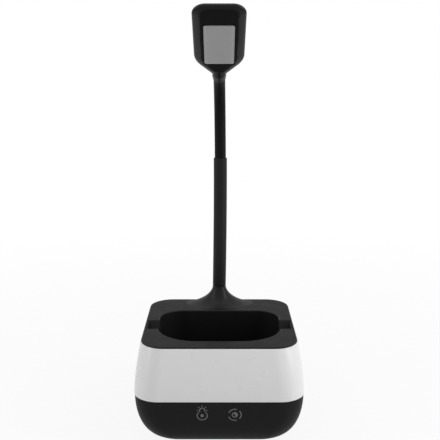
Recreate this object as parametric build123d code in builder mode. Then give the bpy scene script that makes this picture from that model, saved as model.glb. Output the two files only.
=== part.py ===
"""Gooseneck desk lamp standing on a pen and phone organiser base. Millimetres, +Z up.

The origin is the centre of the base on the desk. -Y is the front, with the touch icons, and the
neck rises at the back. The neck is a metal core of ball-jointed links inside two soft sleeves.
"""
import os
from math import cos, pi, radians, sin

from build123d import *

# ---- base: overall sizes
SEAM_HALF = 64.0  # half width where the lower shell meets the white band
SEAM_CORNER = 19.1  # plan corner radius there
SEAM_Z = 39.0
BAND_HEIGHT = 39.3
BAND_TAPER = 5.0  # how much the band draws in from the seam to its top
BAND_TOP_CORNER = 20.8
BAND_BULGE = 1.66  # how strongly the band's side bows outwards
BOWL_TAPER = 19.4  # how much the lower shell draws in from the seam to the underside
BOTTOM_Z = 1.0
SHELL_STEP = 0.3  # the lower shell is this much inside the band at the seam
RIM_EDGE = 0.4  # rounding of the band's and the lower shell's rims
BAND_WALL = 1.6
SHELL_WALL = 2.2
SHELL_FLOOR = 2.4
LIP_HEIGHT = 3.0  # locating lip that stands up inside the band
LIP_WALL = 1.5
LIP_GAP = 0.15

# ---- tray: deck, pen well, phone groove and flared neck foot
DECK_PROUD = 1.2  # height of the deck above the band
DECK_INSET = 0.3
DECK_CORNER = 18.9
DECK_THICKNESS = 3.0
DECK_EDGE = 0.9  # rounding of the deck's outer edge
SKIRT_DEPTH = 6.5
SKIRT_WALL = 1.6
NUT_NOTCH_WIDTH = 27.0  # gap in the skirt that leaves room for the washer and nut
NUT_NOTCH_DEPTH = 3.2
WELL_SIDE_RIM = 10.7
WELL_FRONT_RIM = 13.4
WELL_TO_FLARE = 1.0
WELL_REAR_CORNER = 18.0
WELL_FRONT_CORNER = 32.0
WELL_FLOOR_Z = 30.0
WELL_WALL = 2.0
GROOVE_FRONT_Y = -18.0
GROOVE_WIDTH = 13.5
GROOVE_SLOPE = 7.0  # length of the slope that leads down into the groove from behind
GROOVE_DEPTH = 9.0
GROOVE_RIM = 1.2  # rim left standing at each outer end of the groove
GROOVE_END_WALL = 1.0  # wall below the rim, inside the band
GROOVE_SKIN = 0.3  # skin left over the band at the groove's outer ends
GROOVE_WALL = 2.0
GROOVE_EDGE = 0.5
WELL_EDGE = 0.8
FLARE_STEP = 0.05  # the flare's top is this much inside the sleeve
FLARE_SIDE_R = 34.4  # reach of the flare's foot to the sides, in front and behind the neck
FLARE_FRONT_R = 23.0
FLARE_BACK_R = 6.6
FLARE_SINK = 0.3  # how deep the flare's foot is sunk into the deck
FLARE_STEPS = 8
NECK_INSET = 7.9  # from the deck's back edge to the neck

# ---- neck
NECK_FOOT_RISE = 15.6  # height of the flare's top above the deck
LEAN_RADIUS = 413.8  # two gentle bends that carry the lower neck backwards
LEAN_TURN = 7.56
UPRIGHT_RUN = 24.4
HOOK_RADIUS = 51.6  # tight bend that brings the head forwards
HEAD_RISE = 31.0  # the head's own rise above level, in degrees
LOWER_SLEEVE_R = 5.6
LOWER_SLEEVE_WALL = 0.8
UPPER_SLEEVE_WALL = 0.62
SLEEVE_FIT = 0.08  # gap between the two sleeves where one runs inside the other
SLEEVE_OVERLAP = 8.0
LOWER_CORE_GAP = 0.4  # gap between a sleeve and the core inside it
UPPER_CORE_GAP = 0.3
FIRST_JOINT = 12.0
LOWER_PITCH = 28.0  # distance between joints in the lower neck
LOWER_JOINTS = 4
UPPER_START = 8.8  # distance from the end of the lower sleeve to the next joint
UPPER_PITCH = 10.0
UPPER_JOINTS = 7
SOCKET_WALL = 0.8
BALL_CLEARANCE = 0.05
BALL_SHANK_R = 1.9
BARREL_START = 3.6
SOCKET_REACH = 0.9  # how far a socket reaches past the centre of its ball
WIRE_BORE_R = 1.1
LINK_EDGE = 0.4
STUB_R = 3.0
STUB_LENGTH = 25.0
STUB_SEAT = 7.0  # depth of the wider seat at the top of the flare
STUB_CLEARANCE = 0.05
WASHER_R = 5.4
WASHER_THICKNESS = 1.0
NUT_FLATS = 10.0
NUT_HEIGHT = 4.0

# ---- head: x across, s along the neck's end direction, n out of the light side
HEAD_HALF = 19.0
HEAD_LENGTH = 97.0
HEAD_TIP_CORNER = 9.5
HEAD_SHOULDER_S = 27.6
HEAD_SHOULDER_R = 25.0
HEAD_THROAT_HALF = 5.2
HEAD_THROAT_S = 7.5
THROAT_INSET = 0.33  # how much of a side inset the throat takes
HEAD_PARTING_N = 2.3
HEAD_FACE_N = 4.5
HEAD_BACK_N = -1.7
SIDE_BEVEL = 5.7
TIP_BEVEL = 1.9
TAIL_BEVEL = 8.7
BACK_BEVEL = 7.0
HEAD_WALL = 1.2
THROAT_WALL = 0.76
THROAT_STRAIGHT = 5.0
THROAT_END_S = 26.0
THROAT_END_R = 1.2
WINDOW_MARGIN = 0.8  # recess round the diffuser, at its sides
WINDOW_LOW_MARGIN = 1.0
WINDOW_HIGH_MARGIN = 2.4
WINDOW_STEP = 0.9
DIFFUSER_HALF = 11.2
DIFFUSER_LOW_S = 24.6
DIFFUSER_TO_TIP = 22.0
DIFFUSER_CORNER = 1.5
DIFFUSER_GAP = 0.1
DIFFUSER_FACE_N = 4.2
FLANGE_WIDTH = 1.2
FLANGE_THICKNESS = 0.6
CAVITY_SIDE_MARGIN = 4.3  # room round the diffuser inside the head
CAVITY_LOW_MARGIN = 2.1
CAVITY_HIGH_MARGIN = 5.0
CAVITY_CORNER = 3.0
LED_BOARD_THICKNESS = 0.8
LED_WIDTH = 2.8
LED_LENGTH = 3.5
LED_HEIGHT = 0.7
LED_PITCH = 6.6
LED_ROWS = 7
LED_COLUMN_HALF = 5.0
FRAME_WALL = 1.2
SLEEVE_IN_HEAD = 3.0
FITTING_IN_HEAD = 12.0
FITTING_FLANGE_WIDTH = 0.8
FITTING_FLANGE = 2.0
FITTING_CLEARANCE = 0.1
COLLAR_LENGTH = 3.0
COLLAR_WALL = 0.6
COLLAR_TIP_WALL = 0.3
COLLAR_GAP = 0.12
HEAD_SCREW_R = 1.0
HEAD_SCREW_HEAD_R = 1.9
HEAD_SCREW_HEAD = 1.0
HEAD_SCREW_BITE = 1.2
HEAD_SCREW_TIP_X = 9.0
HEAD_SCREW_TO_TIP = 11.0
HEAD_SCREW_TAIL_X = 8.2
HEAD_SCREW_TAIL_S = 19.6

# ---- inside the base
SCREW_X = 33.0
SCREW_Y = 20.0
COLUMN_R = 4.5
CASE_SCREW_R = 1.5
CASE_SCREW_HEAD_R = 2.9
CASE_SCREW_HEAD = 2.2
CASE_SCREW_SEAT_Z = 5.6
CASE_SCREW_TIP_GAP = 0.5
SCREW_CLEARANCE = 0.05
HEAD_CLEARANCE = 0.3
TRAY_BOSS_R = 4.0
TRAY_BOSS_HEIGHT = 8.0
FOOT_R = 7.0
FOOT_HEIGHT = 2.2
FOOT_XY = 32.0
FOOT_CLEARANCE = 0.1
BALLAST_MARGIN = 2.4
BALLAST_CORNER = 14.5
BALLAST_THICKNESS = 2.5
CELL_R = 9.2
CELL_LENGTH = 65.0
CELL_CAP_R = 3.0
CELL_CAP = 1.5
CRADLE_END = 3.5
CRADLE_SIDE = 1.8
CRADLE_FLOOR = 1.2
CRADLE_HEIGHT = 8.0
CELL_CLEARANCE = 0.1
BOARD_THICKNESS = 1.6
BOARD_HALF_WIDTH = 22.0
BOARD_DEPTH = 23.8
BOARD_Z = 18.9
BOARD_SCREW_X = 17.0
BOARD_SCREW_FROM_BACK = 13.3
BOARD_SCREW_R = 1.0
BOARD_SCREW_HEAD_R = 2.0
BOARD_SCREW_HEAD = 1.2
BOARD_SCREW_BITE = 5.0
BOARD_POST_R = 3.0
USB_WIDTH = 9.0
USB_HEIGHT = 3.2
USB_LENGTH = 8.0
USB_WALL = 0.35
USB_INSET = 0.9  # how deep the inlet's mouth lies behind the shell's surface
USB_PAST_BOARD = 3.5
USB_GAP = 0.3
USB_DEPTH = 6.0
USB_TONGUE_WIDTH = 6.6
USB_TONGUE = 0.7
USB_TONGUE_LENGTH = 5.0
TOUCH_Z = 29.0
TOUCH_X = (-12.4, 11.7)
TOUCH_BOARD_HALF = 23.0
TOUCH_BOARD_HEIGHT = 14.0
TOUCH_BOARD_THICKNESS = 1.2
TOUCH_PAD_R = 5.0
TOUCH_PAD_THICKNESS = 2.0
TOUCH_PAD_GAP = 0.1
RAIL_WIDTH = 3.4
RAIL_DEPTH = 5.6
RAIL_FORWARD = 0.4
RAIL_BITE = 1.0
RAIL_HEIGHT = 18.0

# ---- derived places
CUT_PAST = 1.0  # how far a cut runs past the face it opens
TOUCHING = 0.01
BAND_TOP_Z = SEAM_Z + BAND_HEIGHT
BAND_TOP_HALF = SEAM_HALF - BAND_TAPER
BOTTOM_HALF = SEAM_HALF - BOWL_TAPER
DECK_Z = BAND_TOP_Z + DECK_PROUD
DECK_HALF = BAND_TOP_HALF - DECK_INSET
DECK_UNDER_Z = DECK_Z - DECK_THICKNESS
PLUG_HALF = BAND_TOP_HALF - BAND_WALL - LIP_GAP
PLUG_CORNER = BAND_TOP_CORNER - BAND_WALL - LIP_GAP
FLARE_TOP_R = LOWER_SLEEVE_R - FLARE_STEP
NECK_Y = DECK_HALF - NECK_INSET
NECK_FOOT_Z = DECK_Z + NECK_FOOT_RISE
WELL_HALF = DECK_HALF - WELL_SIDE_RIM
WELL_FRONT_Y = -(DECK_HALF - WELL_FRONT_RIM)
WELL_BACK_Y = NECK_Y - FLARE_FRONT_R - WELL_TO_FLARE
WELL_UNDER_Z = WELL_FLOOR_Z - WELL_WALL
GROOVE_BACK_Y = GROOVE_FRONT_Y + GROOVE_WIDTH
SHELL_INNER_Z = BOTTOM_Z + SHELL_FLOOR
COLUMN_TOP_Z = WELL_UNDER_Z - TRAY_BOSS_HEIGHT
CASE_SCREW_TOP_Z = WELL_UNDER_Z - CASE_SCREW_TIP_GAP
BALLAST_HALF = BOTTOM_HALF - SHELL_WALL - BALLAST_MARGIN
BALLAST_TOP_Z = SHELL_INNER_Z + BALLAST_THICKNESS
CRADLE_HALF_LENGTH = CELL_LENGTH / 2 + CRADLE_END
CRADLE_HALF_WIDTH = CELL_R + CRADLE_SIDE
LOWER_SLEEVE_BORE_R = LOWER_SLEEVE_R - LOWER_SLEEVE_WALL
LOWER_LINK_R = LOWER_SLEEVE_BORE_R - LOWER_CORE_GAP
UPPER_SLEEVE_R = LOWER_SLEEVE_BORE_R - SLEEVE_FIT
UPPER_SLEEVE_BORE_R = UPPER_SLEEVE_R - UPPER_SLEEVE_WALL
UPPER_LINK_R = UPPER_SLEEVE_BORE_R - UPPER_CORE_GAP
BALL_R = UPPER_LINK_R - SOCKET_WALL
THROAT_R = UPPER_SLEEVE_R + COLLAR_GAP + THROAT_WALL
FITTING_FLANGE_R = UPPER_LINK_R + FITTING_FLANGE_WIDTH
DIFFUSER_HIGH_S = HEAD_LENGTH - DIFFUSER_TO_TIP
WINDOW_HALF = DIFFUSER_HALF + WINDOW_MARGIN
WINDOW_LOW_S = DIFFUSER_LOW_S - WINDOW_LOW_MARGIN
WINDOW_HIGH_S = DIFFUSER_HIGH_S + WINDOW_HIGH_MARGIN
CAVITY_HALF = DIFFUSER_HALF + CAVITY_SIDE_MARGIN
CAVITY_LOW_S = DIFFUSER_LOW_S - CAVITY_LOW_MARGIN
CAVITY_HIGH_S = DIFFUSER_HIGH_S + CAVITY_HIGH_MARGIN
LEAN_LENGTH = LEAN_RADIUS * radians(LEAN_TURN)
HOOK_TURN = 90 - HEAD_RISE
HOOK_LENGTH = HOOK_RADIUS * radians(HOOK_TURN)
LOWER_LENGTH = 2 * LEAN_LENGTH
NECK_LENGTH = LOWER_LENGTH + UPRIGHT_RUN + HOOK_LENGTH
NECK_BENDS = [
    (LEAN_LENGTH, LEAN_TURN),
    (LEAN_LENGTH, -LEAN_TURN),
    (UPRIGHT_RUN, 0.0),
    (HOOK_LENGTH, -HOOK_TURN),
]
JOINT_DISTANCES = [FIRST_JOINT + LOWER_PITCH * i for i in range(LOWER_JOINTS)]
JOINT_DISTANCES += [LOWER_LENGTH + UPPER_START + UPPER_PITCH * i for i in range(UPPER_JOINTS)]


def neck_plane(distance):
    """Plane across the neck's centre line, its Z along the neck, at a distance from the flare."""
    y, z, lean = NECK_Y, NECK_FOOT_Z, 0.0
    for length, turn in NECK_BENDS:
        run = min(distance, length)
        ahead = lean + radians(turn) * run / length
        if turn:
            radius = length / radians(turn)
            y += radius * (cos(lean) - cos(ahead))
            z += radius * (sin(ahead) - sin(lean))
        else:
            y += run * sin(lean)
            z += run * cos(lean)
        lean = ahead
        distance -= run
    y += distance * sin(lean)
    z += distance * cos(lean)
    return Plane(origin=(0, y, z), x_dir=(1, 0, 0), z_dir=(0, sin(lean), cos(lean)))


def neck_line(start, end):
    """Draw the neck's centre line between two distances, as tangent arcs and straight runs."""
    stops = [0.0]
    for length, turn in NECK_BENDS:
        stops.append(stops[-1] + length)
    marks = [start] + [stop for stop in stops if start < stop < end] + [end]
    for near, far in zip(marks, marks[1:]):
        first, middle, last = (neck_plane(d).origin for d in (near, (near + far) / 2, far))
        if abs(neck_plane(near).z_dir.get_angle(neck_plane(far).z_dir)) < 0.01:
            Line(first, last)
        else:
            ThreePointArc(first, middle, last)


def rounded_square_loft(levels):
    """Solid lofted through rounded squares, each given as height, half width, corner radius."""
    with BuildPart() as block:
        for height, half, corner in levels:
            with BuildSketch(Plane.XY.offset(height)):
                RectangleRounded(2 * half, 2 * half, corner)
        loft()
    return block.part


def band_half(height):
    """Half width of the white band's outside at a height."""
    fall = (BAND_TOP_Z - height) / (BAND_TOP_Z - SEAM_Z)
    return BAND_TOP_HALF + (SEAM_HALF - BAND_TOP_HALF) * (1 - (1 - fall) ** BAND_BULGE)


def band_corner(height):
    """Plan corner radius of the white band's outside at a height."""
    fall = (BAND_TOP_Z - height) / (BAND_TOP_Z - SEAM_Z)
    return BAND_TOP_CORNER + (SEAM_CORNER - BAND_TOP_CORNER) * fall


def band_levels(inset):
    """Levels of the band's side, drawn in by a wall."""
    steps = 6
    heights = [SEAM_Z + (BAND_TOP_Z - SEAM_Z) * i / steps for i in range(steps + 1)]
    return [(h, band_half(h) - inset, band_corner(h) - inset) for h in heights]


def bowl_half(height, inset, floor):
    """Half width of the lower shell's quarter-ellipse side at a height, drawn in by a wall."""
    spread = SEAM_HALF - SHELL_STEP - BOTTOM_HALF
    fall = (SEAM_Z - height) / (SEAM_Z - floor)
    return BOTTOM_HALF + spread * max(0.0, 1 - fall**2) ** 0.5 - inset


def bowl_levels(inset, floor):
    """Levels of the lower shell's side, drawn in by a wall, down to a floor."""
    steps = 6
    angles = [pi / 2 * (1 - i / steps) for i in range(steps + 1)]
    heights = [SEAM_Z - (SEAM_Z - floor) * sin(angle) for angle in angles]
    return [(h, bowl_half(h, inset, floor), SEAM_CORNER - inset) for h in heights]


# ---- lower shell: bowl, locating lip, screw columns, board posts and touch board rails
bowl_outside = rounded_square_loft(bowl_levels(0, BOTTOM_Z))
bowl_inside = rounded_square_loft(bowl_levels(SHELL_WALL, SHELL_INNER_Z))
LIP_HALF = SEAM_HALF - BAND_WALL - LIP_GAP
USB_Z = BOARD_Z + BOARD_THICKNESS + USB_HEIGHT / 2
USB_MOUTH_Y = bowl_half(USB_Z, 0, BOTTOM_Z) - USB_INSET
BOARD_BACK_Y = USB_MOUTH_Y - USB_PAST_BOARD
BOARD_FRONT_Y = BOARD_BACK_Y - BOARD_DEPTH
BOARD_SCREW_Y = BOARD_BACK_Y - BOARD_SCREW_FROM_BACK
PAD_WALL_Y = -bowl_half(TOUCH_Z - TOUCH_PAD_R, SHELL_WALL, SHELL_INNER_Z)
TOUCH_BOARD_Y = PAD_WALL_Y + TOUCH_PAD_GAP + TOUCH_PAD_THICKNESS
RAIL_Y = TOUCH_BOARD_Y - RAIL_FORWARD
RAIL_X = TOUCH_BOARD_HALF - RAIL_BITE + RAIL_WIDTH / 2

with BuildPart() as lower_shell:
    add(bowl_outside)
    fillet(lower_shell.edges().group_by(Axis.Z)[-1], RIM_EDGE)
    add(bowl_inside, mode=Mode.SUBTRACT)
    with BuildSketch(Plane.XY.offset(SEAM_Z - LIP_HEIGHT)):
        RectangleRounded(2 * LIP_HALF, 2 * LIP_HALF, SEAM_CORNER - BAND_WALL)
        inner = LIP_HALF - LIP_WALL
        RectangleRounded(2 * inner, 2 * inner, SEAM_CORNER - BAND_WALL - LIP_WALL, mode=Mode.SUBTRACT)
    extrude(amount=2 * LIP_HEIGHT)
    with BuildSketch(Plane.XY.offset(BOTTOM_Z + SHELL_FLOOR / 2)):
        with GridLocations(2 * SCREW_X, 2 * SCREW_Y, 2, 2):
            Circle(COLUMN_R)
    extrude(amount=COLUMN_TOP_Z - BOTTOM_Z - SHELL_FLOOR / 2)
    with BuildSketch(Plane.XY.offset(BOTTOM_Z + SHELL_FLOOR / 2)):
        with Locations((-BOARD_SCREW_X, BOARD_SCREW_Y), (BOARD_SCREW_X, BOARD_SCREW_Y)):
            Circle(BOARD_POST_R)
    extrude(amount=BOARD_Z - BOTTOM_Z - SHELL_FLOOR / 2)
    with BuildSketch(Plane.XY.offset(TOUCH_Z - RAIL_HEIGHT / 2)):
        with Locations((-RAIL_X, RAIL_Y), (RAIL_X, RAIL_Y)):
            Rectangle(RAIL_WIDTH, RAIL_DEPTH)
    extrude(amount=RAIL_HEIGHT)
    with BuildSketch(Plane.XY.offset(TOUCH_Z - TOUCH_BOARD_HEIGHT / 2)):
        slot = TOUCH_BOARD_THICKNESS + 2 * SCREW_CLEARANCE
        with Locations((0, TOUCH_BOARD_Y + TOUCH_BOARD_THICKNESS / 2)):
            Rectangle(2 * TOUCH_BOARD_HALF + 2 * SCREW_CLEARANCE, slot)
    extrude(amount=RAIL_HEIGHT, mode=Mode.SUBTRACT)
    with BuildSketch(Plane.XY.offset(BOTTOM_Z)):
        with GridLocations(2 * SCREW_X, 2 * SCREW_Y, 2, 2):
            Circle(CASE_SCREW_HEAD_R + HEAD_CLEARANCE)
    extrude(amount=CASE_SCREW_SEAT_Z - BOTTOM_Z, mode=Mode.SUBTRACT)
    with BuildSketch(Plane.XY.offset(BOTTOM_Z)):
        with GridLocations(2 * SCREW_X, 2 * SCREW_Y, 2, 2):
            Circle(CASE_SCREW_R + SCREW_CLEARANCE)
    extrude(amount=COLUMN_TOP_Z, mode=Mode.SUBTRACT)
    with BuildSketch(Plane.XY.offset(BOARD_Z)):
        with Locations((-BOARD_SCREW_X, BOARD_SCREW_Y), (BOARD_SCREW_X, BOARD_SCREW_Y)):
            Circle(BOARD_SCREW_R + SCREW_CLEARANCE)
    extrude(amount=-BOARD_SCREW_BITE - SCREW_CLEARANCE, mode=Mode.SUBTRACT)
    with BuildSketch(Plane.XY.offset(BOTTOM_Z)):
        with GridLocations(2 * FOOT_XY, 2 * FOOT_XY, 2, 2):
            Circle(FOOT_R + FOOT_CLEARANCE)
    extrude(amount=FOOT_HEIGHT - BOTTOM_Z, mode=Mode.SUBTRACT)
    with BuildSketch(Plane(origin=(0, BOARD_BACK_Y, USB_Z), x_dir=(1, 0, 0), z_dir=(0, 1, 0))):
        slot_height = USB_HEIGHT + 2 * USB_GAP
        SlotOverall(USB_WIDTH + 2 * USB_GAP, slot_height)
    extrude(amount=SEAM_HALF, mode=Mode.SUBTRACT)
lower_shell.part.label = "lower_shell"

# ---- rubber feet in their recesses
with BuildPart() as rubber_feet:
    with BuildSketch():
        with GridLocations(2 * FOOT_XY, 2 * FOOT_XY, 2, 2):
            Circle(FOOT_R)
    extrude(amount=FOOT_HEIGHT)
rubber_feet.part.label = "rubber_feet"

# ---- white band
band_outside = rounded_square_loft(band_levels(0))
band_inside = rounded_square_loft(band_levels(BAND_WALL))

with BuildPart() as white_band:
    add(band_outside)
    add(band_inside, mode=Mode.SUBTRACT)
    fillet(white_band.edges().group_by(Axis.Z)[0], RIM_EDGE)
    fillet(white_band.edges().group_by(Axis.Z)[-1], RIM_EDGE)
white_band.part.label = "white_band"


def well_outline(margin):
    """Pen well seen from above, grown by a margin."""
    depth = WELL_BACK_Y - WELL_FRONT_Y
    with BuildSketch() as outline:
        with Locations((0, (WELL_BACK_Y + WELL_FRONT_Y) / 2)):
            Rectangle(2 * (WELL_HALF + margin), depth + 2 * margin)
        corners = outline.vertices().group_by(Axis.Y)
        fillet(corners[0], WELL_FRONT_CORNER + margin)
        fillet(outline.vertices().group_by(Axis.Y)[-1], WELL_REAR_CORNER + margin)
    return outline.sketch


def groove_profile(depth):
    """Phone groove seen from the side, with its sloped back, down to a depth below the deck."""
    slope_y = GROOVE_BACK_Y + GROOVE_SLOPE * (1 - depth / GROOVE_DEPTH)
    with BuildSketch() as profile:
        with BuildLine():
            Polyline(
                (GROOVE_FRONT_Y, DECK_Z + CUT_PAST),
                (GROOVE_FRONT_Y, DECK_Z - depth),
                (slope_y, DECK_Z - depth),
                (GROOVE_BACK_Y + GROOVE_SLOPE, DECK_Z),
                (GROOVE_BACK_Y + GROOVE_SLOPE, DECK_Z + CUT_PAST),
                close=True,
            )
        make_face()
    return profile.sketch


def on_deck(edge):
    """Whether an edge lies in the deck's top face."""
    box = edge.bounding_box()
    return max(abs(box.min.Z - DECK_Z), abs(box.max.Z - DECK_Z)) < TOUCHING


def in_well(edge):
    """Whether an edge of the deck's top face belongs to the pen well."""
    box = edge.bounding_box()
    reach = max(-box.min.X, box.max.X)
    return reach < WELL_HALF + TOUCHING and box.max.Y < WELL_BACK_Y + TOUCHING


def across_groove(edge):
    """Whether an edge of the deck's top face is a long side of the phone groove."""
    box = edge.bounding_box()
    beside_well = min(abs(box.min.X), abs(box.max.X)) > WELL_HALF - WELL_EDGE - TOUCHING
    return beside_well and box.size.Y < TOUCHING < box.size.X


# ---- top tray: deck, skirt, well, flared foot of the neck, phone groove
groove_cuts = [
    (PLUG_HALF - GROOVE_END_WALL, GROOVE_DEPTH),
    (DECK_HALF - GROOVE_RIM, DECK_PROUD - GROOVE_SKIN),
]
well_inside = well_outline(0)
well_outside = well_outline(WELL_WALL)
side_facing = Plane(origin=(0, 0, 0), x_dir=(0, 1, 0), z_dir=(1, 0, 0))

with BuildPart() as flare:
    for i in range(FLARE_STEPS + 1):
        angle = pi / 2 * (1 - i / FLARE_STEPS)
        spread = 1 - cos(angle)
        side, front, back = (
            FLARE_TOP_R + (reach - FLARE_TOP_R) * spread
            for reach in (FLARE_SIDE_R, FLARE_FRONT_R, FLARE_BACK_R)
        )
        height = NECK_FOOT_Z - (NECK_FOOT_RISE + FLARE_SINK) * sin(angle)
        with BuildSketch(Plane(origin=(0, NECK_Y, height))):
            with BuildLine():
                EllipticalCenterArc((0, 0), side, front, 180, arc_size=90)
                EllipticalCenterArc((0, 0), side, front, 270, arc_size=90)
                EllipticalCenterArc((0, 0), side, back, 0, arc_size=90)
                EllipticalCenterArc((0, 0), side, back, 90, arc_size=90)
            make_face()
    loft()

with BuildPart() as top_tray:
    with BuildSketch(Plane.XY.offset(BAND_TOP_Z)):
        RectangleRounded(2 * DECK_HALF, 2 * DECK_HALF, DECK_CORNER)
    extrude(amount=DECK_Z - BAND_TOP_Z)
    fillet(top_tray.edges().group_by(Axis.Z)[-1], DECK_EDGE)
    with BuildSketch(Plane.XY.offset(DECK_UNDER_Z)):
        RectangleRounded(2 * PLUG_HALF, 2 * PLUG_HALF, PLUG_CORNER)
    extrude(amount=BAND_TOP_Z - DECK_UNDER_Z)
    with BuildSketch(Plane.XY.offset(DECK_UNDER_Z - SKIRT_DEPTH)):
        RectangleRounded(2 * PLUG_HALF, 2 * PLUG_HALF, PLUG_CORNER)
        inner = PLUG_HALF - SKIRT_WALL
        RectangleRounded(2 * inner, 2 * inner, PLUG_CORNER - SKIRT_WALL, mode=Mode.SUBTRACT)
        with Locations((0, PLUG_HALF)):
            Rectangle(NUT_NOTCH_WIDTH, 2 * NUT_NOTCH_DEPTH, mode=Mode.SUBTRACT)
    extrude(amount=SKIRT_DEPTH)
    with BuildSketch(Plane.XY.offset(WELL_UNDER_Z)):
        add(well_outside)
    extrude(amount=DECK_UNDER_Z - WELL_UNDER_Z)
    add(flare.part)
    with BuildSketch(Plane.XY.offset(COLUMN_TOP_Z)):
        with GridLocations(2 * SCREW_X, 2 * SCREW_Y, 2, 2):
            Circle(TRAY_BOSS_R)
    extrude(amount=WELL_UNDER_Z - COLUMN_TOP_Z)
    with BuildSketch(Plane.XY.offset(DECK_Z - GROOVE_DEPTH - GROOVE_WALL)):
        low_y, high_y = GROOVE_FRONT_Y - GROOVE_WALL, GROOVE_BACK_Y + GROOVE_SLOPE + GROOVE_WALL
        with Locations((0, (low_y + high_y) / 2)):
            Rectangle(2 * PLUG_HALF, high_y - low_y)
    extrude(amount=GROOVE_DEPTH + GROOVE_WALL - DECK_THICKNESS)
    with BuildSketch(Plane.XY.offset(WELL_FLOOR_Z)):
        add(well_inside)
    extrude(amount=DECK_Z, mode=Mode.SUBTRACT)
    for half, depth in groove_cuts:
        with BuildSketch(side_facing.offset(-half)):
            add(groove_profile(depth))
        extrude(amount=2 * half, mode=Mode.SUBTRACT)
    rims = top_tray.edges().filter_by(on_deck).filter_by(in_well)
    fillet(rims, WELL_EDGE)
    rims = top_tray.edges().filter_by(on_deck).filter_by(across_groove)
    fillet(rims, GROOVE_EDGE)
    with BuildSketch(Plane.XY.offset(COLUMN_TOP_Z)):
        with GridLocations(2 * SCREW_X, 2 * SCREW_Y, 2, 2):
            Circle(CASE_SCREW_R + SCREW_CLEARANCE)
    extrude(amount=CASE_SCREW_TOP_Z + SCREW_CLEARANCE - COLUMN_TOP_Z, mode=Mode.SUBTRACT)
    with BuildSketch(Plane.XY.offset(NECK_FOOT_Z)):
        with Locations((0, NECK_Y)):
            Circle(LOWER_LINK_R + STUB_CLEARANCE)
    extrude(amount=-STUB_SEAT, mode=Mode.SUBTRACT)
    with BuildSketch(Plane.XY.offset(NECK_FOOT_Z)):
        with Locations((0, NECK_Y)):
            Circle(STUB_R + STUB_CLEARANCE)
    extrude(amount=-STUB_LENGTH, mode=Mode.SUBTRACT)
top_tray.part.label = "top_tray"

# ---- neck fitting under the flare: hollow threaded stub, washer and nut
joint_points = [neck_plane(distance).origin for distance in JOINT_DISTANCES]


def aim(start, target):
    """Plane at a point with its Z towards another point of the neck."""
    return Plane(origin=start, x_dir=(1, 0, 0), z_dir=target - start)


with BuildPart() as neck_stub:
    foot = Plane(origin=(0, NECK_Y, NECK_FOOT_Z - STUB_SEAT))
    with BuildSketch(foot):
        Circle(STUB_R)
    extrude(amount=-(STUB_LENGTH - STUB_SEAT))
    with BuildSketch(foot):
        Circle(LOWER_LINK_R)
    extrude(amount=STUB_SEAT + FIRST_JOINT + SOCKET_REACH)
    with Locations(joint_points[0]):
        Sphere(BALL_R + BALL_CLEARANCE, mode=Mode.SUBTRACT)
    with BuildSketch(foot):
        Circle(WIRE_BORE_R)
    extrude(amount=STUB_LENGTH + FIRST_JOINT, both=True, mode=Mode.SUBTRACT)
neck_stub.part.label = "neck_stub"

with BuildPart() as neck_washer:
    with BuildSketch(Plane.XY.offset(DECK_UNDER_Z)):
        with Locations((0, NECK_Y)):
            Circle(WASHER_R)
            Circle(STUB_R + STUB_CLEARANCE, mode=Mode.SUBTRACT)
    extrude(amount=-WASHER_THICKNESS)
neck_washer.part.label = "neck_washer"

with BuildPart() as neck_nut:
    with BuildSketch(Plane.XY.offset(DECK_UNDER_Z - WASHER_THICKNESS)):
        with Locations((0, NECK_Y)):
            RegularPolygon(NUT_FLATS / 2, 6, major_radius=False, rotation=30)
            Circle(STUB_R + STUB_CLEARANCE, mode=Mode.SUBTRACT)
    extrude(amount=-NUT_HEIGHT)
neck_nut.part.label = "neck_nut"


def core_link(start, end, radius):
    """One link of the gooseneck's core: a ball at its start and a socket at its end."""
    plane = aim(start, end)
    length = (end - start).length
    with BuildPart() as link:
        with Locations(plane):
            Sphere(BALL_R)
        with BuildSketch(plane):
            Circle(BALL_SHANK_R)
        extrude(amount=length / 2)
        with BuildSketch(plane.offset(BARREL_START)):
            Circle(radius)
        extrude(amount=length + SOCKET_REACH - BARREL_START)
        rims = link.edges().filter_by(GeomType.CIRCLE).filter_by(lambda edge: edge.radius > BALL_R)
        chamfer(rims, LINK_EDGE)
        with Locations(plane.offset(length)):
            Sphere(BALL_R + BALL_CLEARANCE, mode=Mode.SUBTRACT)
        with BuildSketch(plane):
            Circle(WIRE_BORE_R)
        extrude(amount=length, both=True, mode=Mode.SUBTRACT)
    return link


core_links = []
for number, (start, end) in enumerate(zip(joint_points, joint_points[1:]), 1):
    in_lower = JOINT_DISTANCES[number] < LOWER_LENGTH
    link = core_link(start, end, LOWER_LINK_R if in_lower else UPPER_LINK_R)
    link.part.label = f"core_link_{number:02d}"
    core_links.append(link)

# ---- sleeves over the core
with BuildPart() as lower_sleeve:
    with BuildLine():
        neck_line(0, LOWER_LENGTH)
    with BuildSketch(neck_plane(0)):
        Circle(LOWER_SLEEVE_R)
        Circle(LOWER_SLEEVE_BORE_R, mode=Mode.SUBTRACT)
    sweep()
lower_sleeve.part.label = "lower_sleeve"

with BuildPart() as upper_sleeve:
    with BuildLine():
        neck_line(LOWER_LENGTH - SLEEVE_OVERLAP, NECK_LENGTH + SLEEVE_IN_HEAD)
    with BuildSketch(neck_plane(LOWER_LENGTH - SLEEVE_OVERLAP)):
        Circle(UPPER_SLEEVE_R)
        Circle(UPPER_SLEEVE_BORE_R, mode=Mode.SUBTRACT)
    sweep()
upper_sleeve.part.label = "upper_sleeve"

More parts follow.
